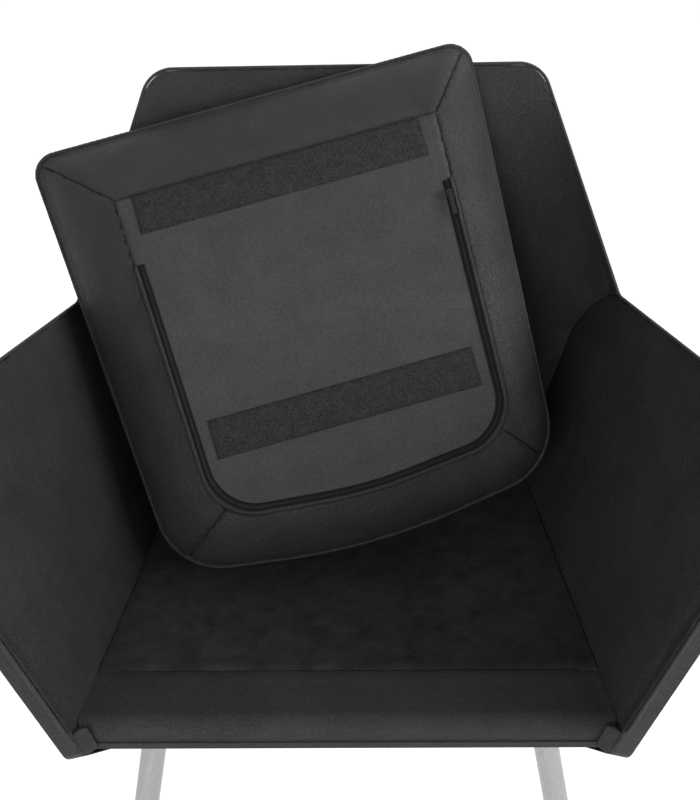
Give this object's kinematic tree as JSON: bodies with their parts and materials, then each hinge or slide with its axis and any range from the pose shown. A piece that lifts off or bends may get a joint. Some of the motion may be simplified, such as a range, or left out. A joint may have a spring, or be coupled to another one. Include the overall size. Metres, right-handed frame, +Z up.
{
  "type": "upholstered arm chair",
  "caption": "Tub arm chair with a faceted shell, splayed round steel legs and a loose seat cushion turned over and leaned on the back.",
  "frame": {"origin": "on the floor, under the middle of the chair's overall box", "axes": "+X to the viewer's right, +Y to the chair's back, +Z up"},
  "size_m": [0.715, 0.5622, 0.8743],
  "materials": {
    "leather": "black grained faux leather with a soft sheen",
    "welt_leather": "black faux leather piping",
    "felt": "matte black needle felt",
    "base_fabric": "dark warm grey woven base cloth",
    "hook_tape": "dark hook fastening tape",
    "zip_tape": "black woven zip tape",
    "zip_teeth": "black nylon coil",
    "zip_metal": "black enamelled zinc",
    "foam": "cream upholstery foam",
    "plywood": "birch plywood",
    "beech": "sawn beech",
    "dust_cloth": "black non-woven cloth",
    "leg_steel": "brushed steel tube",
    "plate_steel": "black painted steel",
    "screw_steel": "zinc plated steel",
    "glide_plastic": "black polyamide"
  },
  "bodies": {
    "chair": {"right_arm_inner_cover": "leather", "left_arm_inner_cover": "leather", "right_arm_foam": "foam", "left_arm_foam": "foam", "right_arm_board": "plywood", "left_arm_board": "plywood", "right_arm_front_band": "leather", "left_arm_front_band": "leather", "right_arm_outer_cover": "leather", "left_arm_outer_cover": "leather", "back_inner_cover": "leather", "back_foam": "foam", "back_board": "plywood", "back_outer_cover": "leather", "deck_felt": "felt", "deck_front_strip": "leather", "deck_foam": "foam", "seat_board": "plywood", "front_belly_cover": "leather", "right_corner_gusset": "leather", "left_corner_gusset": "leather", "right_side_rail": "beech", "left_side_rail": "beech", "front_rail": "beech", "rear_rail": "beech", "corner_blocks": "beech", "frame_screws": "screw_steel", "leg_screws": "screw_steel", "front_right_leg": "leg_steel", "front_right_leg_plate": "plate_steel", "front_left_leg": "leg_steel", "front_left_leg_plate": "plate_steel", "rear_right_leg": "leg_steel", "rear_right_leg_plate": "plate_steel", "rear_left_leg": "leg_steel", "rear_left_leg_plate": "plate_steel", "front_right_glide": "glide_plastic", "front_left_glide": "glide_plastic", "rear_right_glide": "glide_plastic", "rear_left_glide": "glide_plastic", "dust_cover": "dust_cloth", "rim_welt": "welt_leather"},
    "seat_cushion": {"cushion_front_border": "leather", "cushion_right_border": "leather", "cushion_rear_border": "leather", "cushion_left_border": "leather", "cushion_base_panel": "base_fabric", "cushion_foam": "foam", "cushion_top_cover": "leather", "cushion_edge_seam": "leather", "zip_tape": "zip_tape", "zip_teeth": "zip_teeth", "zip_lip": "leather", "front_hook_strip": "hook_tape", "rear_hook_strip": "hook_tape"},
    "slider": {"zip_slider": "zip_metal"},
    "pull_tab": {"zip_pull_tab": "zip_metal"}
  },
  "joints": [
    {"name": "cushion_lifts_off", "type": "slide", "parent": "chair", "child": "seat_cushion", "axis": [0.0392, -0.8634, 0.503], "range_m": [0, 0.3]},
    {"name": "slider_runs_on_zip", "type": "slide", "parent": "seat_cushion", "child": "slider", "axis": [0.2279, -0.4824, -0.8458], "range_m": [0, 0.2]},
    {"name": "pull_tab_flips", "type": "hinge", "parent": "slider", "child": "pull_tab", "pos_m": [0.10995, 0.12904, 0.74862], "axis": [-0.9729, -0.1478, -0.1779], "range_deg": [0, 170]}
  ]
}
